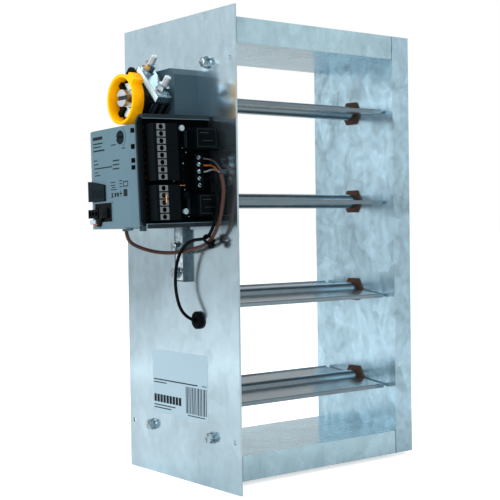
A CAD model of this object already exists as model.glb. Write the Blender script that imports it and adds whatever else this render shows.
import math

import bpy
from mathutils import Euler, Matrix, Vector


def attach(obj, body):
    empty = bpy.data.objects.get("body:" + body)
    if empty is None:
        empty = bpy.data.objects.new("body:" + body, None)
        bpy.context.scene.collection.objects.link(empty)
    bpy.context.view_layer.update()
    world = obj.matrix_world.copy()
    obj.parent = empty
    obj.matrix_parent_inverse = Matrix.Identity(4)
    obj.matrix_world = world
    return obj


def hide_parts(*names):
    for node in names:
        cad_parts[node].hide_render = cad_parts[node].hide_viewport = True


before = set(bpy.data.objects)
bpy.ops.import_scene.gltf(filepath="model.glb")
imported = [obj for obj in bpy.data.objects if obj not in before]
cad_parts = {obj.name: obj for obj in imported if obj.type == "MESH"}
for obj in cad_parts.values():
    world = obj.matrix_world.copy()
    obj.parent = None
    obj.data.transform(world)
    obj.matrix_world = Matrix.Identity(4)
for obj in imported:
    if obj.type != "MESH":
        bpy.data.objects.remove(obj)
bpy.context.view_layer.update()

# Millimetres and degrees of the solids: faces are places along X, the board's front along Y, levels along Z
MM = 0.001
SHAFT = Vector((0, 0, 114.3))
PLATE_FACE = -1.6
BRACKET_FACE = -3.1
COVER_FACE = -62.6
BOARD_FRONT = -42.6
TRACK_LEVEL = 57.25
TRACK_CENTRE = (-32.0, 0.0, TRACK_LEVEL)
RELAY_LEVELS = (80.35, 32.15)
TERMINAL_PITCH = 5.08
THERMOSTAT_LEVELS = [TRACK_LEVEL + 31.0 - TERMINAL_PITCH * k for k in range(8)]
SUPPLY_LEVELS = [TRACK_LEVEL - 12.7 - TERMINAL_PITCH * k for k in range(5)]
SCREW_LEVELS = [TRACK_LEVEL + 9.6 - TERMINAL_PITCH * k for k in range(5)]
GROMMET_Y, GROMMET_Z = -24.8, -52.6
ACTUATOR_TURN, TRACK_TILT, CLAMP_TURN = -1.5, -1.2, 45.0
ACTUATOR_CABLE_RADIUS, SENSOR_CABLE_RADIUS, LEAD_RADIUS = 1.4, 1.25, 0.65

# Routes of the cables and leads, the same points as in the solids
ACTUATOR_CABLE = (
    (-47.0, 3.4, 15.7), (-46.0, 3.8, 10.6), (-41.6, 4.9, 5.8), (-33.0, 4.6, 2.2), (-23.0, 3.6, -0.6),
    (-14.4, 0.0, -1.8), (-10.0, -9.0, -1.6), (-8.9, -20.0, -0.2), (-8.2, -31.0, 1.9),
    (-8.0, -41.0, 3.6), (-8.0, -49.0, 7.0), (-7.6, -55.4, 13.0), (-7.0, -60.0, 21.0),
    (-6.8, -62.8, 30.0), (-6.8, -65.2, 39.6), (-6.8, -65.8, 48.4), (-6.8, -62.6, 56.0))
SENSOR_CABLE = (
    (0.0, -24.8, -52.6), (-6.4, -24.8, -52.6), (-11.0, -21.4, -49.2), (-12.2, -16.0, -44.0),
    (-11.8, -11.6, -37.0), (-11.6, -9.0, -28.5), (-11.9, -9.4, -18.5), (-12.2, -12.0, -9.0),
    (-12.4, -17.4, -0.6), (-12.4, -25.0, 5.0), (-11.6, -33.6, 8.2), (-10.4, -42.0, 8.6),
    (-10.0, -49.4, 9.9), (-10.2, -55.6, 15.6), (-10.4, -60.2, 23.4), (-10.2, -62.4, 32.4),
    (-10.0, -61.6, 41.2), (-9.8, -57.6, 48.4))
LEADS = {
    "lead_white": ((-12.65, -47.0, 57.9), (-8.9, -47.1, 58.2), (-6.2, -50.0, 59.8), (-6.3, -54.2, 59.6),
                   (-6.8, -58.0, 58.8), (-6.9, -61.0, 57.2)),
    "lead_orange": ((-12.75, -47.0, 63.0), (-9.0, -47.2, 62.8), (-6.6, -50.0, 62.9),
                    (-6.9, -53.9, 61.7), (-7.8, -57.4, 60.3), (-8.3, -60.6, 58.0)),
    "lead_grey": ((-12.85, -47.0, 68.1), (-8.6, -47.2, 67.7), (-5.6, -50.0, 66.9), (-4.8, -53.9, 64.2),
                  (-5.0, -57.8, 61.2), (-5.4, -61.2, 58.2)),
    "lead_black": ((-12.55, -47.0, 52.9), (-8.8, -47.1, 52.8), (-6.2, -49.8, 52.9), (-6.3, -53.3, 51.6),
                   (-8.0, -55.4, 50.4), (-9.6, -57.0, 49.3)),
}


# Camera, fitted to the corners of the plate and the frame, in metres and degrees
def make_camera():
    data = bpy.data.cameras.new("photo_camera")
    data.sensor_width = 36.0
    data.lens = 81.45
    data.clip_start, data.clip_end = 0.05, 50.0
    camera = bpy.data.objects.new("photo_camera", data)
    bpy.context.collection.objects.link(camera)
    camera.location = (-0.49597, -0.72245, 0.01747)
    camera.rotation_euler = Euler([math.radians(a) for a in (88.8176, 0.8059, -37.9839)])
    bpy.context.scene.camera = camera


make_camera()


# Finishes: a shader value that takes part in sums, and a material built from such values
class Value:
    def __init__(self, finish, socket):
        self.finish, self.socket = finish, socket

    def apply(self, operation, *others):
        sockets = dict(enumerate((self, *others)))
        return self.finish.node("ShaderNodeMath", {"operation": operation}, sockets)

    def __add__(self, other):
        return self.apply("ADD", other)

    def __sub__(self, other):
        return self.apply("SUBTRACT", other)

    def __rsub__(self, other):
        return self.finish.node("ShaderNodeMath", {"operation": "SUBTRACT"}, {0: other, 1: self})

    def __mul__(self, other):
        return self.apply("MULTIPLY", other)

    __radd__, __rmul__ = __add__, __mul__


class Finish:
    def __init__(self, name, colour, rough, metal=0.0, **fixed):
        self.name, self.colour = name, colour
        self.material = bpy.data.materials.new(name)
        self.material.use_nodes = True
        self.tree = self.material.node_tree
        self.shader = self.tree.nodes["Principled BSDF"]
        self.set(Base_Color=(*colour, 1.0), Roughness=rough, Metallic=metal, **fixed)

    def feed(self, socket, value):
        if isinstance(value, Value):
            self.tree.links.new(value.socket, socket)
        else:
            socket.default_value = value

    def set(self, **values):
        for name, value in values.items():
            self.feed(self.shader.inputs[name.replace("_", " ")], value)
        return self

    def node(self, kind, settings, sockets, output=0):
        """A node of a kind with its settings, then what its sockets take, by name or number."""
        node = self.tree.nodes.new(kind)
        for name, value in settings.items():
            setattr(node, name, value)
        for socket, value in sockets.items():
            self.feed(node.inputs[socket], value)
        return Value(self, node.outputs[output])

    def place(self, stretch=(1.0, 1.0, 1.0)):
        where = self.node("ShaderNodeTexCoord", {}, {}, "Object")
        return self.node("ShaderNodeMapping", {}, {"Vector": where, "Scale": stretch})

    def along(self, direction):
        """How far a point lies along a direction, in metres."""
        sockets = {0: self.place(), 1: tuple(direction)}
        return self.node("ShaderNodeVectorMath", {"operation": "DOT_PRODUCT"}, sockets, "Value")

    def noise(self, scale, stretch=(1.0, 1.0, 1.0), detail=3.0, distortion=0.0):
        sockets = {"Vector": self.place(stretch), "Scale": scale, "Detail": detail,
                   "Distortion": distortion}
        return self.node("ShaderNodeTexNoise", {}, sockets)

    def cells(self, scale, stretch=(1.0, 1.0, 1.0)):
        sockets = {"Vector": self.place(stretch), "Scale": scale}
        colour = self.node("ShaderNodeTexVoronoi", {}, sockets, "Color")
        return self.node("ShaderNodeSeparateColor", {}, {0: colour})

    def spread(self, amount, low, high):
        """Colours from low to high as the amount goes from 0 to 1."""
        settings = {"data_type": "RGBA", "clamp_factor": True}
        return self.node("ShaderNodeMix", settings, {0: amount, 6: (*low, 1.0), 7: (*high, 1.0)}, 2)

    def shaded(self, amount, swing):
        """The finish's own colour, lighter and darker by the swing."""
        low = [c * (1 - swing) for c in self.colour]
        high = [min(c * (1 + swing), 1.0) for c in self.colour]
        return self.set(Base_Color=self.spread(amount, low, high))

    def bumped(self, height, depth, strength):
        sockets = {"Strength": strength, "Distance": depth, "Height": height}
        return self.set(Normal=self.node("ShaderNodeBump", {}, sockets))


def galvanised(name, colour, rough, spangle, streak, metal, band=(0.0, 1.0, 0.0)):
    """Zinc-coated sheet: flakes, rolling streaks and clouds, and a duller band round a height.

    The band is its depth, the distance after which it comes again, and its height, in metres.
    """
    finish = Finish(name, colour, rough, metal)
    warp = finish.noise(48.0, (1.0, 1.0, 0.8), 3.0, distortion=1.6)
    fine = finish.noise(210.0, (1.0, 1.0, 0.8), 2.0)
    flake = finish.cells(75.0, (1.0, 1.0, 0.7))
    roll = finish.noise(70.0, (1.0, 1.0, 0.03), 4.0)
    stain = finish.noise(8.0, (1.0, 1.0, 0.6), 4.0)
    tone = (warp - 0.5) * (spangle * 2.2) + (fine - 0.5) * spangle + (flake - 0.5) * (spangle * 0.7)
    tone = tone + (roll - 0.5) * streak + (stain - 0.5) * 1.2
    depth, period, height = band
    turn = 2 * math.pi / period
    dull = (finish.along((0.0, 0.0, 1.0)) * turn - height * turn).apply("COSINE")
    finish.shaded(0.5 + tone * 0.67 - dull * depth, 0.3)
    finish.set(Roughness=rough * (1.0 + (warp - 0.5) * 0.6 + (stain - 0.5) * 0.45))
    return finish.bumped(fine * 0.4 + warp + roll, 0.00003, 0.15)


def moulded(name, colour, rough, grain=1400.0, depth=0.00004, swing=0.08, **fixed):
    """Moulded plastic or rubber with a fine spark-eroded grain."""
    finish = Finish(name, colour, rough, **fixed)
    skin = finish.noise(grain, detail=2.0)
    cloud = finish.noise(35.0, detail=4.0)
    finish.shaded(cloud, swing)
    finish.set(Roughness=rough - 0.06 + skin * 0.12)
    return finish.bumped(skin, depth, 0.5)


def plated(name, colour, rough, lines=900.0, stretch=(1.0, 1.0, 1.0), metal=1.0, cloud=70.0, swing=0.14):
    """Turned or plated metal with fine marks and cloudy shine."""
    finish = Finish(name, colour, rough, metal)
    marks = finish.noise(lines, stretch)
    haze = finish.noise(cloud, detail=4.0)
    finish.shaded(0.5 + (haze - 0.5) * 2.2, swing)
    finish.set(Roughness=rough - 0.08 + marks * 0.1 + haze * 0.1)
    return finish.bumped(marks, 0.00002, 0.3)


def glazed(name, colour, deep, near, far):
    """Clear coloured plastic that deepens along X, from near to far, and glows a little."""
    finish = Finish(name, colour, 0.35, Specular_IOR_Level=0.08, Emission_Strength=0.30)
    across = finish.along((1.0, 0.0, 0.0))
    cloud = finish.noise(160.0, detail=4.0)
    tint = finish.spread((across - near) * (1 / (far - near)) + (cloud - 0.5) * 0.9, colour, deep)
    finish.set(Base_Color=tint, Emission_Color=tint)
    return finish.bumped(finish.noise(900.0), 0.00005, 0.5)


def threaded(name, colour, rough, pitch, direction):
    """A screw thread as rings across the given direction."""
    finish = Finish(name, colour, rough, 1.0)
    ridge = (finish.along(direction) * (2 * math.pi / pitch)).apply("SINE") * 0.5 + 0.5
    finish.set(Base_Color=finish.spread(ridge, [c * 0.45 for c in colour], colour))
    return finish.bumped(ridge, 0.0003, 0.8)


STUD_WAY = Vector((0, -math.sin(math.radians(CLAMP_TURN)), math.cos(math.radians(CLAMP_TURN))))
FINISHES = {finish.name: finish for finish in (
    galvanised("plate_sheet", (0.51, 0.67, 0.755), 0.17, 0.30, 0.40, 0.97, band=(0.18, 0.50, -0.09)),
    galvanised("frame_sheet", (0.43, 0.62, 0.73), 0.22, 0.95, 0.45, 0.85, band=(0.08, 0.33, 0.06)),
    galvanised("channel_sheet", (0.48, 0.69, 0.80), 0.26, 0.45, 0.45, 0.8, band=(0.10, 0.33, 0.06)),
    galvanised("blade_sheet", (0.21, 0.275, 0.31), 0.20, 0.2, 0.4, 0.85),
    plated("zinc_plate", (0.66, 0.76, 0.82), 0.24, metal=0.85, cloud=150.0, swing=0.3),
    plated("screw_zinc", (0.34, 0.42, 0.46), 0.20, cloud=420.0, swing=0.75),
    plated("nut_zinc", (0.42, 0.50, 0.545), 0.20, cloud=340.0, swing=0.75),
    plated("saddle_zinc", (0.58, 0.69, 0.755), 0.24, cloud=110.0, swing=0.2),
    moulded("bright_edge", (0.70, 0.92, 1.0), 0.5, Emission_Color=(0.75, 0.93, 1.0, 1.0),
        Emission_Strength=0.12),
    plated("bracket_zinc", (0.065, 0.092, 0.108), 0.30, metal=0.8, cloud=200.0, swing=0.4),
    plated("bracket_face", (0.46, 0.58, 0.65), 0.25, metal=0.8, cloud=260.0, swing=0.5),
    threaded("stud_thread", (0.78, 0.82, 0.84), 0.3, 0.0009, STUD_WAY),
    plated("turned_steel", (0.60, 0.66, 0.70), 0.3, 700.0, (1.0, 0.1, 0.1)),
    moulded("brown_bearing", (0.075, 0.028, 0.014), 0.45, Specular_IOR_Level=0.3),
    moulded("dark_housing", (0.040, 0.080, 0.105), 0.5, Specular_IOR_Level=0.25),
    moulded("light_housing", (0.094, 0.180, 0.230), 0.46, Specular_IOR_Level=0.3),
    moulded("button_plastic", (0.006, 0.013, 0.017), 0.5, Specular_IOR_Level=0.04),
    moulded("black_plastic", (0.0015, 0.003, 0.004), 0.4, Specular_IOR_Level=0.04),
    glazed("amber_plastic", (0.97, 0.45, 0.0), (0.56, 0.21, 0.0), -0.0515, -0.0425),
    moulded("track_plastic", (0.009, 0.018, 0.024), 0.38, 900.0, Specular_IOR_Level=0.2),
    moulded("board_mask", (0.0008, 0.0012, 0.0016), 0.5, 260.0, 0.0001, 0.3, Specular_IOR_Level=0.01),
    moulded("terminal_plastic", (0.0022, 0.0045, 0.006), 0.5, Specular_IOR_Level=0.03),
    moulded("relay_plastic", (0.001, 0.0025, 0.0034), 0.42, Specular_IOR_Level=0.03),
    moulded("relay_edge", (0.014, 0.024, 0.030), 0.42, Specular_IOR_Level=0.2),
    moulded("nylon", (0.42, 0.55, 0.62), 0.45),
    plated("copper_wire", (0.75, 0.40, 0.16), 0.35),
    moulded("black_rubber", (0.001, 0.002, 0.003), 0.5, 900.0, Specular_IOR_Level=0.04),
    moulded("brown_jacket", (0.076, 0.038, 0.030), 0.4, 700.0, 0.00006, 0.25, Specular_IOR_Level=0.15),
    moulded("black_jacket", (0.001, 0.0015, 0.002), 0.4, 700.0, 0.00006, Specular_IOR_Level=0.05),
    moulded("white_jacket", (0.24, 0.28, 0.30), 0.4),
    moulded("orange_jacket", (0.34, 0.085, 0.012), 0.4),
    moulded("grey_jacket", (0.05, 0.068, 0.08), 0.4),
    moulded("foam", (0.006, 0.007, 0.008), 0.8, 400.0, 0.0002, Specular_IOR_Level=0.1),
    moulded("paper", (0.36, 0.50, 0.59), 0.5, 300.0, 0.00002, 0.03, Specular_IOR_Level=0.3),
    moulded("ink", (0.006, 0.012, 0.017), 0.5, Specular_IOR_Level=0.1),
    moulded("faint_ink", (0.022, 0.008, 0.003), 0.5, Specular_IOR_Level=0.05),
    moulded("well_rim", (0.14, 0.165, 0.175), 0.45, Specular_IOR_Level=0.2),
    moulded("hollow", (0.001, 0.0015, 0.002), 0.6, Specular_IOR_Level=0.02),
)}
NODE_FINISH = {
    "mounting_plate": "plate_sheet", "near_jamb": "frame_sheet", "far_jamb": "frame_sheet",
    "top_channel": "channel_sheet", "bottom_channel": "channel_sheet", "corner_rivets": "zinc_plate",
    "near_bushings": "brown_bearing", "far_bushings": "brown_bearing", "plate_screws": "screw_zinc",
    "bracket_screws": "screw_zinc", "anti_rotation_bracket": "bracket_zinc",
    "actuator_base": "dark_housing", "actuator_cover": "light_housing", "cable_plug": "black_plastic",
    "board_track": "track_plastic", "track_tape": "foam", "circuit_board": "board_mask",
    "board_standoffs": "nylon", "thermostat_terminals": "terminal_plastic",
    "supply_terminals": "terminal_plastic", "actuator_terminals": "relay_plastic",
    "relays": "relay_plastic", "board_components": "black_plastic", "jumper_wire": "copper_wire",
    "plate_grommet": "black_rubber", "drive_shaft": "turned_steel", "drive_crank": "zinc_plate",
    "clamp_hub": "black_plastic", "clamp_saddle": "saddle_zinc", "clamp_bolt": "stud_thread",
    "clamp_nuts": "nut_zinc", "position_ring": "amber_plastic", "tie_bar": "zinc_plate",
    "release_button": "button_plastic", "direction_selector": "button_plastic",
}
for k in (1, 2, 3, 4):
    NODE_FINISH["blade_%d_upper_skin" % k] = "blade_sheet"
    NODE_FINISH["blade_%d_lower_skin" % k] = "blade_sheet"
    NODE_FINISH["blade_%d_shaft" % k] = "turned_steel"
    NODE_FINISH["blade_%d_crank" % k] = "zinc_plate"
for name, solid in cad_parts.items():
    if name in NODE_FINISH:
        solid.data.materials.clear()
        solid.data.materials.append(FINISHES[NODE_FINISH[name]].material)


# Places: the actuator is turned about the shaft, and its board's track is tilted on its side
def turned(angle, axis, centre):
    centre = Vector(centre)
    return Matrix.Translation(centre) @ Matrix.Rotation(math.radians(angle), 4, axis) \
        @ Matrix.Translation(-centre)


ACTUATOR = turned(ACTUATOR_TURN, "X", SHAFT)
TRACK = ACTUATOR @ turned(TRACK_TILT, "Y", TRACK_CENTRE)
CLAMP = Matrix.Translation(SHAFT) @ Matrix.Rotation(math.radians(CLAMP_TURN), 4, "X")


# Modelling steps, all in millimetres until a piece is settled
def start(kind, **options):
    bpy.ops.object.select_all(action="DESELECT")
    getattr(bpy.ops.mesh, "primitive_%s_add" % kind)(**options)
    return bpy.context.object


def reshape(step, **options):
    """One edit-mode operator on the whole of the active piece."""
    bpy.ops.object.mode_set(mode="EDIT")
    bpy.ops.mesh.select_all(action="SELECT")
    step(**options)
    bpy.ops.object.mode_set(mode="OBJECT")


def block(low, high, soften=0.0):
    """A block between two corners, with softened edges."""
    size = [h - l for l, h in zip(low, high)]
    piece = start("cube", size=1.0, location=[(l + h) / 2 for l, h in zip(low, high)])
    piece.scale = size
    bpy.ops.object.transform_apply(location=True, rotation=True, scale=True)
    if soften:
        reshape(bpy.ops.mesh.bevel, offset=soften, segments=2, affect="EDGES")
    return piece


def pick(piece, kind, wanted):
    """Selects the wanted vertices, edges or polygons of the active piece, in edit mode."""
    bpy.ops.object.mode_set(mode="EDIT")
    bpy.ops.mesh.select_all(action="DESELECT")
    bpy.ops.object.mode_set(mode="OBJECT")
    for part in getattr(piece.data, kind):
        part.select = wanted(part)
    bpy.ops.object.mode_set(mode="EDIT")


def round_corners(piece, axis, radius):
    """Rounds the edges of the active block that run along an axis."""
    n = "XYZ".index(axis)

    def runs_along(edge):
        a, b = [piece.data.vertices[v].co for v in edge.vertices]
        return abs((a - b).normalized()[n]) > 0.99

    bpy.context.tool_settings.mesh_select_mode = (False, True, False)
    pick(piece, "edges", runs_along)
    bpy.ops.mesh.bevel(offset=radius, segments=6, affect="EDGES")
    bpy.ops.mesh.select_mode(type="VERT")
    bpy.ops.object.mode_set(mode="OBJECT")


def turned_bar(axis, place, radius, length, soften=0.0, sides=32):
    """A round bar that begins at a place and runs along an axis, with eased rims."""
    piece = start("cylinder", vertices=sides, radius=radius, depth=length)
    if soften:
        pick(piece, "polygons", lambda face: abs(face.normal.z) > 0.9)
        bpy.ops.mesh.bevel(offset=soften, segments=2, affect="EDGES")
        bpy.ops.object.mode_set(mode="OBJECT")
    turn = {"X": (0, math.pi / 2, 0), "Y": (-math.pi / 2, 0, 0), "Z": (0, 0, 0)}[axis]
    way = {"X": (1, 0, 0), "Y": (0, 1, 0), "Z": (0, 0, 1)}[axis]
    piece.rotation_euler = turn
    piece.location = Vector(place) + Vector(way) * length / 2
    bpy.ops.object.transform_apply(location=True, rotation=True, scale=True)
    return piece


def ring(place, radius, thick, axis="Z", around=36, across=8):
    """A ring of round wire centred on a place, about an axis."""
    turn = {"X": (0, math.pi / 2, 0), "Z": (0, 0, 0)}[axis]
    piece = start("torus", major_radius=radius, minor_radius=thick, major_segments=around,
                  minor_segments=across, rotation=turn, location=place)
    bpy.ops.object.transform_apply(location=True, rotation=True, scale=False)
    return piece


def carve(piece, tool):
    """Cuts a tool out of a piece and removes the tool."""
    bpy.ops.object.select_all(action="DESELECT")
    bpy.context.view_layer.objects.active = piece
    piece.select_set(True)
    cut = piece.modifiers.new("cut", "BOOLEAN")
    cut.object, cut.operation, cut.solver = tool, "DIFFERENCE", "EXACT"
    bpy.ops.object.modifier_apply(modifier="cut")
    bpy.data.objects.remove(tool, do_unlink=True)
    return piece


def copy_at(piece, offsets):
    """Copies of a piece, each with its own mesh, moved by the offsets."""
    twins = []
    for offset in offsets:
        twin = piece.copy()
        twin.data = piece.data.copy()
        bpy.context.collection.objects.link(twin)
        twin.data.transform(Matrix.Translation(Vector(offset)))
        twins.append(twin)
    return twins


def settle(name, pieces, finish, body="frame", where=None, smooth=True):
    """Joins the parts of a piece, puts it in its place in metres and lets it ride."""
    bpy.ops.object.select_all(action="DESELECT")
    for piece in pieces:
        piece.select_set(True)
    bpy.context.view_layer.objects.active = pieces[0]
    if len(pieces) > 1:
        bpy.ops.object.join()
    piece = pieces[0]
    piece.name = piece.data.name = name
    if where is not None:
        piece.data.transform(where)
    piece.data.transform(Matrix.Scale(MM, 4))
    reshape(bpy.ops.mesh.normals_make_consistent, inside=False)
    if smooth:
        bpy.ops.object.shade_smooth_by_angle(angle=math.radians(35))
    piece.data.materials.clear()
    piece.data.materials.append(FINISHES[finish].material)
    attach(piece, body)
    return piece


# Cables and leads, each a smooth spline on the points of its solid
def metres(point):
    return [c * MM for c in point]


def cable(name, points, radius, finish):
    curve = bpy.data.curves.new(name + "_run", "CURVE")
    curve.dimensions = "3D"
    spline = curve.splines.new("NURBS")
    spline.points.add(len(points) - 1)
    for point, place in zip(spline.points, points):
        point.co = (*metres(place), 1.0)
    spline.order_u = 3
    spline.use_endpoint_u = True
    spline.resolution_u = 8
    curve.bevel_depth = radius * MM
    curve.bevel_resolution = 6
    curve.use_fill_caps = True
    piece = bpy.data.objects.new(name + "_run", curve)
    bpy.context.collection.objects.link(piece)
    curve.materials.append(FINISHES[finish].material)
    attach(piece, "frame")
    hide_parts(name)
    return piece


brown = cable("actuator_cable", ACTUATOR_CABLE, ACTUATOR_CABLE_RADIUS, "brown_jacket")
black = cable("sensor_cable", SENSOR_CABLE, SENSOR_CABLE_RADIUS, "black_jacket")
for name, points in LEADS.items():
    colour = name.split("_")[1]
    cable(name, points, LEAD_RADIUS, colour + "_jacket")


# Cable tie: a strap round both cables, its square head and the cut tail
def make_tie():
    place = (-9.0, -49.1, 8.45)
    run = Vector((0.0, -0.76, 0.65)).normalized()
    strap = ring((0, 0, 0), 3.9, 0.75, around=40)
    strap.data.transform(Matrix.Scale(1.9, 4, (0, 0, 1)))
    head = block((3.6, -2.0, -2.2), (7.2, 2.0, 2.2), 0.5)
    tail = block((5.0, -0.7, 1.6), (6.2, 0.7, 5.6), 0.3)
    where = Matrix.Translation(place) @ run.to_track_quat("Z", "Y").to_matrix().to_4x4()
    where = where @ Matrix.Rotation(math.radians(-90), 4, "Z")
    tie = settle("tie_strap", [strap, head, tail], "black_plastic", where=where)
    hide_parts("cable_tie")


make_tie()
metres(ACTUATOR_CABLE[0])
metres(SENSOR_CABLE[0])


# Board: wells and screws of the terminals, lines on the relays, printed marks and small parts
def well_rims():
    """A pale rim round each well of the two long blocks, and the well's dark floor."""
    front = BOARD_FRONT - 9.4
    first, *others = THERMOSTAT_LEVELS + SUPPLY_LEVELS
    offsets = [(0, 0, level - first) for level in others]
    rim = block((-54.9, front - 0.12, first - 2.05), (-47.5, front, first + 2.05), 0.04)
    well = start("cylinder", vertices=28, radius=1.78, depth=4.0, location=(-51.2, front, first),
                 rotation=(math.pi / 2, 0, 0))
    carve(rim, well)
    rims = [rim] + copy_at(rim, offsets)
    settle("well_rims", rims, "well_rim", where=TRACK, smooth=False)
    floor = turned_bar("Y", (-51.2, front + 4.4, first), 1.68, 0.5, 0.1, 24)
    floors = [floor] + copy_at(floor, offsets)
    settle("well_floors", floors, "hollow", where=TRACK)


def slotted_heads():
    """Screw heads of the five-way block, each with its slot at an angle of its own."""
    x, front, first = -16.5, BOARD_FRONT - 5.3, SCREW_LEVELS[0]
    head = turned_bar("Y", (x, front, first), 1.6, 1.2, 0.25, 28)
    heads = [head] + copy_at(head, [(0, 0, level - first) for level in SCREW_LEVELS[1:]])
    settle("block_screw_heads", heads, "screw_zinc", where=TRACK)
    slots = []
    for level, angle in zip(SCREW_LEVELS, (70.0, 30.0, -20.0, 40.0, 15.0)):
        slot = block((x - 1.5, front - 0.06, level - 0.3), (x + 1.5, front + 0.1, level + 0.3))
        slot.data.transform(turned(angle, "Y", (x, 0, level)))
        slots.append(slot)
    settle("block_screw_slots", slots, "hollow", where=TRACK, smooth=False)


def relay_details():
    """The relays' lids, the lines moulded on them and the pale edge at each relay's foot."""
    front = BOARD_FRONT
    spans = ((-22.9, -6.1, 6.2, 6.5), (-22.9, -6.1, -6.5, -6.2), (-22.9, -22.6, -6.2, 6.2),
             (-6.4, -6.1, -6.2, 6.2), (-20.5, -13.0, 3.4, 4.0), (-19.0, -9.0, -2.2, -1.8))
    lids, lines = [], []
    for level in RELAY_LEVELS:
        lids.append(block((-23.7, front - 13.7, level - 7.1), (-5.3, front - 13.35, level + 7.1), 0.2))
        for left, right, low, high in spans:
            lines.append(block((left, front - 13.8, level + low), (right, front - 13.68, level + high)))
        lines.append(block((-25.3, front - 3.4, level - 6.2), (-24.9, front - 0.05, level + 6.2)))
    settle("relay_lids", lids, "relay_plastic", where=TRACK)
    settle("relay_lines", lines, "relay_edge", where=TRACK, smooth=False)


def board_marks():
    """Plain bars where the board is printed beside the terminals."""
    front, ink = BOARD_FRONT, BOARD_FRONT - 0.06
    marks = []
    for level, wide in zip(THERMOSTAT_LEVELS, (1.6, 1.1, 1.5, 1.3, 0.8, 1.7, 1.2, 1.5)):
        marks.append(block((-60.0, ink, level - 0.9), (-60.0 + wide * 0.45, front, level + 0.9)))
        marks.append(block((-59.4 + wide * 0.5, ink, level - 0.2),
                           (-58.6 + wide * 0.3, front, level + 0.2)))
    for level in SUPPLY_LEVELS:
        marks.append(block((-59.9, ink, level - 0.9), (-59.4, front, level + 0.9)))
    settle("board_marks", marks, "faint_ink", where=TRACK, smooth=False)


def small_parts():
    """Solder pads, two wire links and six small parts between the terminals and the relays."""
    front = BOARD_FRONT
    places = ((-34.2, 71.0), (-34.2, 53.8), (-27.0, 74.2), (-27.0, 63.0), (-26.6, 46.8), (-26.6, 43.6),
              (-24.0, 71.0), (-24.0, 24.4), (-36.0, 50.2), (-33.4, 46.8), (-33.4, 43.6))
    pads = [turned_bar("Y", (x, front - 0.35, z), 0.55, 0.35, 0.1, 16) for x, z in places]
    settle("solder_pads", pads, "screw_zinc", where=TRACK)
    links = [turned_bar("Z", (-34.2, front - 1.4, 54.6), 0.42, 15.4, 0.1, 16),
             turned_bar("X", (-33.4, front - 1.0, 46.8), 0.4, 6.6, 0.1, 16)]
    settle("link_wires", links, "copper_wire", where=TRACK)
    chips = [block((-29.0, front - 1.3, z), (-27.0, front, z + 1.3), 0.15)
             for z in (67.6, 61.0, 58.2, 50.0, 36.4, 24.0)]
    settle("small_parts", chips, "terminal_plastic", where=TRACK)


def track_rims():
    """Worn pale edges along the track's two lips, and at the lower lip's outer end."""
    edges = []
    for low in (TRACK_LEVEL + 37.35, TRACK_LEVEL - 37.85):
        edges.append(block((-61.2, -44.62, low), (-2.8, -44.4, low + 0.5), 0.08))
    edges.append(block((-61.28, -44.45, TRACK_LEVEL - 40.7), (-61.02, -43.2, TRACK_LEVEL - 37.4), 0.05))
    settle("track_lip_edges", edges, "light_housing", where=TRACK)


well_rims()
slotted_heads()
relay_details()
board_marks()
small_parts()
track_rims()


# Actuator: bars where words would be, the selector's scale, vents, the plug and small fittings
def bars(name, rows, front, finish, where=None):
    """Thin bars on a face that looks along X, each given by its two sides, its bottom and its top."""
    pieces = [block((front - 0.05, y0, z0), (front, y1, z1)) for y0, y1, z0, z1 in rows]
    settle(name, pieces, finish, where=where, smooth=False)


FACE_ROWS = [(10.5, 24.4, 84.2, 86.6), (10.3, 24.2, 81.0, 81.9), (12.8, 24.0, 78.6, 79.4),
             (8.0, 24.2, 75.6, 76.7), (19.0, 23.9, 68.6, 69.3), (17.2, 23.7, 65.7, 66.4),
             (-2.3, 23.5, 62.6, 63.4), (18.0, 23.3, 59.7, 60.3), (15.1, 23.1, 57.4, 58.1),
             (-12.5, -3.6, 66.6, 67.5), (-12.4, -3.5, 63.6, 64.5), (-12.3, -3.3, 60.6, 61.5),
             (-8.3, -1.6, 78.3, 79.0), (-21.3, -16.4, 74.9, 75.6), (-5.9, 0.6, 51.0, 51.6),
             (-5.9, 0.6, 48.8, 49.4), (-15.7, -11.8, 51.4, 52.2), (-15.7, -11.8, 49.4, 50.0),
             (-5.9, -1.0, 47.2, 47.8), (-8.3, 0.2, 45.6, 46.2), (-15.7, -11.8, 47.2, 47.8),
             (-23.6, -17.0, 50.6, 51.3), (-23.6, -17.0, 47.2, 47.8), (-17.8, -17.0, 47.2, 51.3),
             (-23.6, -22.8, 47.2, 51.3), (-3.6, 0.4, 40.2, 40.8), (-2.2, -0.6, 40.8, 43.6),
             (-7.0, -4.6, 40.6, 43.4), (-10.6, -8.0, 40.6, 43.4), (-13.8, -13.0, 40.4, 44.6),
             (-15.2, -11.6, 42.2, 43.0), (-22.4, -17.2, 40.2, 45.4)]
bars("face_bars", FACE_ROWS, COVER_FACE, "ink", ACTUATOR)


def selector_scale():
    """A thin arc beside the selector."""
    arc = ring((0, 0, 0), 7.4, 0.16, around=64, across=6)
    pick(arc, "vertices", lambda vertex: vertex.co.x < 3.0)
    bpy.ops.mesh.delete(type="VERT")
    bpy.ops.mesh.select_all(action="SELECT")
    bpy.ops.mesh.edge_face_add()
    bpy.ops.object.mode_set(mode="OBJECT")
    arc.data.transform(Matrix.Translation((COVER_FACE, -14.7, 83.3)) @ Matrix.Rotation(-math.pi / 2, 4, "Z")
                       @ Matrix.Rotation(math.pi / 2, 4, "X"))
    settle("selector_scale", [arc], "ink", where=ACTUATOR)


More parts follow.
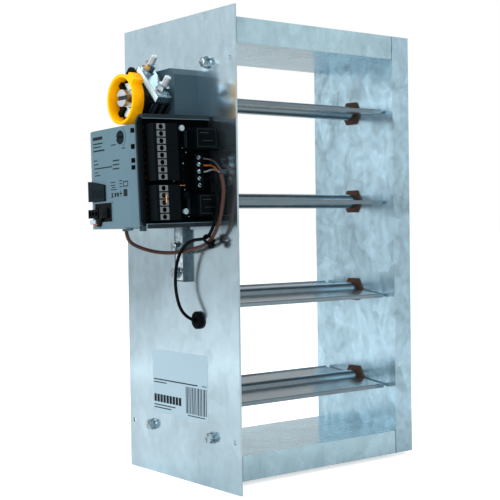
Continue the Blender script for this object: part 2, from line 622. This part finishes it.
def bevel_vents():
    """Four vents on the cover's sloping side."""
    slope = Matrix.Translation((-61.1, -29.2, 0)) @ Matrix.Rotation(math.radians(21.8), 4, "Z")
    vents = []
    for level, tall in ((87.0, 3.4), (75.4, 3.6), (65.4, 3.4), (60.4, 3.2)):
        vent = block((-0.28, -1.7, level - tall / 2), (0.3, 1.7, level + tall / 2), 0.25)
        vent.data.transform(slope)
        vents.append(vent)
    settle("cover_vents", vents, "hollow", where=ACTUATOR)


def cable_socket():
    """The plug's recess with its pale rim, and the boot, latch and wire end on the plug."""
    face = COVER_FACE
    out, deep = face - 0.35, face + 0.4
    rim = [block((out, -1.3, 22.0), (deep, -0.5, 37.4), 0.2),
           block((out, -1.3, 36.6), (deep, 24.9, 37.5), 0.2),
           block((out, 24.3, 33.0), (deep, 25.1, 37.5), 0.2)]
    settle("socket_rim", rim, "light_housing", where=ACTUATOR)
    inside = [block((face + 0.3, -0.3, 22.9), (face + 3.45, 16.4, 36.4), 0.3),
              block((face + 0.4, 16.2, 32.9), (face + 3.45, 24.0, 36.4), 0.3),
              block((face - 1.7, 4.6, 25.4), (face + 3.0, 16.55, 33.2), 0.9)]
    settle("socket_inside", inside, "black_plastic", where=ACTUATOR)
    boot_top = 25.7
    boot = block((face - 1.5, 12.4, 19.4), (face - 0.02, 20.8, boot_top), 0.7)
    for vertex in boot.data.vertices:
        vertex.co.y += (boot_top - vertex.co.z) * (0.45 if vertex.co.y < 16.6 else -0.1)
    settle("plug_boot", [boot], "black_plastic", where=ACTUATOR)
    latch = block((face - 1.4, 22.4, 21.4), (face - 0.02, 30.4, 24.6), 0.5)
    settle("plug_latch", [latch], "nylon", where=ACTUATOR)
    wire = turned_bar("Y", (face - 1.0, 18.6, 21.2), 0.6, 6.6, 0.2, 16)
    settle("plug_wire", [wire], "orange_jacket", where=ACTUATOR)


def housing_details():
    """The seam between base and cover, the lug below, the button's grips and the gland's collar."""
    seam = [block((-35.75, -33.12, 18.2), (-35.45, -32.9, 90.9)),
            block((-35.75, 32.9, 18.2), (-35.45, 33.12, 90.9))]
    settle("housing_seam", seam, "hollow", where=ACTUATOR)
    lug = block((-58.0, -31.2, 14.4), (-52.5, -29.4, 17.9), 0.5)
    settle("foot_lug", [lug], "dark_housing", where=ACTUATOR)
    out, deep = COVER_FACE - 1.85, COVER_FACE - 1.58
    grips = [block((out, 10.0 + 2.2 * k, 40.5), (deep, 10.7 + 2.2 * k, 47.2), 0.12) for k in range(8)]
    settle("button_grips", grips, "button_plastic", body="release_button", where=ACTUATOR)
    collar = ring((-47.0, 3.4, 16.1), 2.2, 0.8, around=32, across=12)
    settle("gland_collar", [collar], "dark_housing")


selector_scale()
bevel_vents()
cable_socket()
housing_details()


# Paper label on the plate, with plain bars for its words and its bar code
def plate_label():
    paper = block((PLATE_FACE - 0.12, -35.0, -129.4), (PLATE_FACE, 39.5, -79.3))
    round_corners(paper, "X", 2.6)
    settle("plate_label", [paper], "paper")
    rows = [(-22.0, 38.0, -103.3, -102.4), (20.0, 38.0, -105.5, -104.7), (-33.6, -27.5, -103.0, -102.4),
            (8.0, 38.0, -123.5, -122.7), (14.0, 38.0, -125.7, -124.9), (-31.5, -8.5, -127.2, -126.5)]
    rows += [(37.9 - 4.3 * k - 3.4, 37.9 - 4.3 * k, -120.8, -114.6) for k in range(9)]
    rows += [(-33.4 + 1.9 * k, -33.4 + 1.9 * k + (0.8, 1.2, 0.6, 1.0)[k % 4], -125.4, -104.9)
             for k in range(15)]
    bars("label_bars", rows, PLATE_FACE - 0.12, "ink")


plate_label()


# Clamp, its casting and the ring: all of it turns with the driven blade
def clamp_piece(name, pieces, finish, where=CLAMP, smooth=True):
    return settle(name, pieces, finish, body="drive_blade", where=where, smooth=smooth)


def saddle_details():
    """The spring washers under the saddle's nuts, the ends of its studs and its bright edge."""
    studs = [(-30.4, y) for y in (-12.4, 12.4)]
    washers = [ring((x, y, 19.1), 4.9, 0.55) for x, y in studs]
    clamp_piece("nut_washers", washers, "nut_zinc")
    crowns = [turned_bar("Z", (x, y, 31.3), 2.2, 0.5, 0.25, 24) for x, y in studs]
    clamp_piece("stud_crowns", crowns, "zinc_plate")
    edge = block((-36.52, -19.2, 13.3), (-36.36, 16.6, 18.1), 0.05)
    clamp_piece("saddle_edge", [edge], "bright_edge")


def hub_casting():
    """The black casting, a round body with a cut flange, a seat, a jaw and a lobe, and its ribs."""
    ribs = [block((-38.0, -20.0 + 3.4 * k, -3.5), (-37.5, -18.6 + 3.4 * k, 11.4), 0.2) for k in range(4)]
    ribs += [block((-36.9 + 5.8 * k, -21.6, -2.0), (-34.7 + 5.8 * k, -20.9, 12.4), 0.3) for k in range(3)]
    clamp_piece("jaw_ribs", ribs, "relay_edge")
    back, seat_top = -38.6, 12.85
    body = turned_bar("X", (back, 0, 0), 13.0, 17.8, 0.4, 64)
    seat = block((back, -10.0, 0.0), (-20.8, 10.0, seat_top), 0.3)
    flange = turned_bar("X", (-42.8, 0, 0), 20.0, 4.3, 0.0, 96)
    above = block((-44.0, -24.0, 14.4), (-37.5, 24.0, 24.0))
    carve(flange, above)
    jaw = block((-37.6, -21.0, -6.0), (-23.2, 0.0, seat_top), 0.8)
    lobe = block((back, 0.0, -2.0), (-36.5, 24.6, 13.6))
    round_corners(lobe, "X", 5.0)
    hub = clamp_piece("hub_casting", [body, seat, flange, jaw, lobe], "black_plastic")
    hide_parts("clamp_hub")


def hub_insert():
    """The bright insert round the shaft, and the slot in the shaft's end."""
    place = Matrix.Translation(SHAFT)
    insert = block((-43.15, -9.2, -12.8), (-42.7, 9.2, 12.2), 0.15)
    bore = start("cylinder", vertices=40, radius=7.2, depth=4.0, location=(-43.0, 0, 0),
                 rotation=(0, math.pi / 2, 0))
    carve(insert, bore)
    clamp_piece("hub_insert", [insert], "bright_edge", place)
    slot = block((-50.1, -6.2, -1.55), (-49.9, 6.2, 1.55))
    clamp_piece("shaft_slot", [slot], "relay_edge", place, smooth=False)


def ring_details():
    """The ring's inner rib and outer edge, the hub's spokes and the pointer on the ring's tab."""
    drop = -1.2
    ribs = [ring((-44.0, 0, drop), 17.6, 0.7, "X", 72), ring((-51.4, 0, drop), 17.7, 0.75, "X", 72)]
    clamp_piece("ring_ribs", ribs, "amber_plastic")
    spokes = []
    for angle in (5.0, 155.0, 275.0):
        spoke = block((-46.0, 7.4, -2.2), (-42.9, 16.6, 2.2), 0.5)
        turn = Matrix.Rotation(math.radians(angle), 4, "X")
        spoke.data.transform(Matrix.Translation((0, 0, -1.0)) @ turn)
        spokes.append(spoke)
    clamp_piece("hub_spokes", spokes, "black_plastic")
    pointer = start("cone", vertices=3, radius1=2.2, radius2=0.0, depth=0.3, location=(0, 0, 0))
    pointer.data.transform(Matrix.Translation((-47.2, 0, 21.3)) @ Matrix.Scale(0.8, 4, (0, 1, 0)))
    clamp_piece("ring_pointer", [pointer], "amber_plastic", smooth=False)


saddle_details()
hub_casting()
hub_insert()
ring_details()


# Frame and plate: dents at a corner, the grommet's lips, the screws' crowns and the bracket's face
def frame_details():
    dents = [turned_bar("X", (182.3, y, z), 0.7, 0.24, 0.05, 16)
             for y, z in ((2.3, 156.2), (-18.8, 156.0))]
    settle("corner_dents", dents, "hollow")
    lips = [ring((-4.1, GROMMET_Y, GROMMET_Z), 2.6, 0.9, "X", 36, 10),
            ring((-3.4, GROMMET_Y, GROMMET_Z), 4.6, 1.5, "X", 40, 10)]
    settle("grommet_lip", lips, "black_rubber")
    heads = [(-6.35, y, z) for y in (-40.5, 40.5) for z in (-139.7, 139.7)]
    heads += [(-7.85, -2.0, z) for z in (2.6, -17.3)]
    crowns = [turned_bar("X", head, 2.8, 0.35, 0.15, 24) for head in heads]
    settle("screw_crowns", crowns, "screw_zinc")
    strip = block((BRACKET_FACE - 0.08, -6.9, -23.0), (BRACKET_FACE, 2.5, 36.0), 0.03)
    settle("bracket_front", [strip], "bracket_face")


frame_details()


# Studio: a floor and surroundings that the camera sees as white, and soft lamps
def camera_share(tree, extra, base):
    """A strength that is the base for all light, with something extra for what the camera sees."""
    path = tree.nodes.new("ShaderNodeLightPath")
    strength = tree.nodes.new("ShaderNodeMath")
    strength.operation = "MULTIPLY_ADD"
    strength.inputs[1].default_value = extra
    strength.inputs[2].default_value = base
    tree.links.new(path.outputs["Is Camera Ray"], strength.inputs[0])
    return strength.outputs[0]


def make_floor():
    just_below = -0.1779
    bpy.ops.mesh.primitive_plane_add(size=30.0, location=(0, 0, just_below))
    floor = bpy.context.object
    floor.name = "studio_floor"
    ground = bpy.data.materials.new("studio_floor")
    ground.use_nodes = True
    tree = ground.node_tree
    tree.nodes.clear()
    diffuse, glow, total, out = [tree.nodes.new(kind) for kind in (
        "ShaderNodeBsdfDiffuse", "ShaderNodeEmission", "ShaderNodeAddShader", "ShaderNodeOutputMaterial")]
    diffuse.inputs["Color"].default_value = (0.80, 0.80, 0.80, 1.0)
    tree.links.new(camera_share(tree, 0.62, 0.0), glow.inputs["Strength"])
    tree.links.new(diffuse.outputs[0], total.inputs[0])
    tree.links.new(glow.outputs[0], total.inputs[1])
    tree.links.new(total.outputs[0], out.inputs["Surface"])
    floor.data.materials.append(ground)


def make_surroundings():
    world = bpy.data.worlds.new("studio")
    bpy.context.scene.world = world
    world.use_nodes = True
    tree = world.node_tree
    back = tree.nodes["Background"]
    back.inputs["Color"].default_value = (1.0, 1.0, 1.0, 1.0)
    tree.links.new(camera_share(tree, 0.30, 0.70), back.inputs["Strength"])


def lamp(name, place, aim, width, power):
    """A square lamp at a place, facing its aim, in metres and watts."""
    data = bpy.data.lights.new(name, "AREA")
    data.size, data.energy = width, power
    light = bpy.data.objects.new(name, data)
    bpy.context.collection.objects.link(light)
    light.location = place
    light.rotation_euler = (Vector(aim) - Vector(place)).to_track_quat("-Z", "Y").to_euler()
    return light


def strip_lamp(name, place, aim, width, height, power):
    """A long low lamp that the camera sees only as its reflection, a bright band on the sheets."""
    light = lamp(name, place, aim, width, power)
    light.data.shape, light.data.size_y = "RECTANGLE", height
    light.visible_camera = False


make_floor()
make_surroundings()
lamp("key_left", (-1.6, 0.7, 0.8), (0.0, 0, 0.05), 1.4, 15.0)
lamp("fill_front", (-0.9, -1.7, 0.6), (0.05, 0, 0), 1.2, 10.0)
lamp("top", (-0.3, 0.2, 1.6), (0.1, 0, 0), 1.2, 12.0)
strip_lamp("low_strip", (-0.369, 0.536, -0.176), (0.0, 0.0, -0.176), 0.9, 0.014, 0.045)
bpy.context.scene.view_settings.view_transform = "Standard"
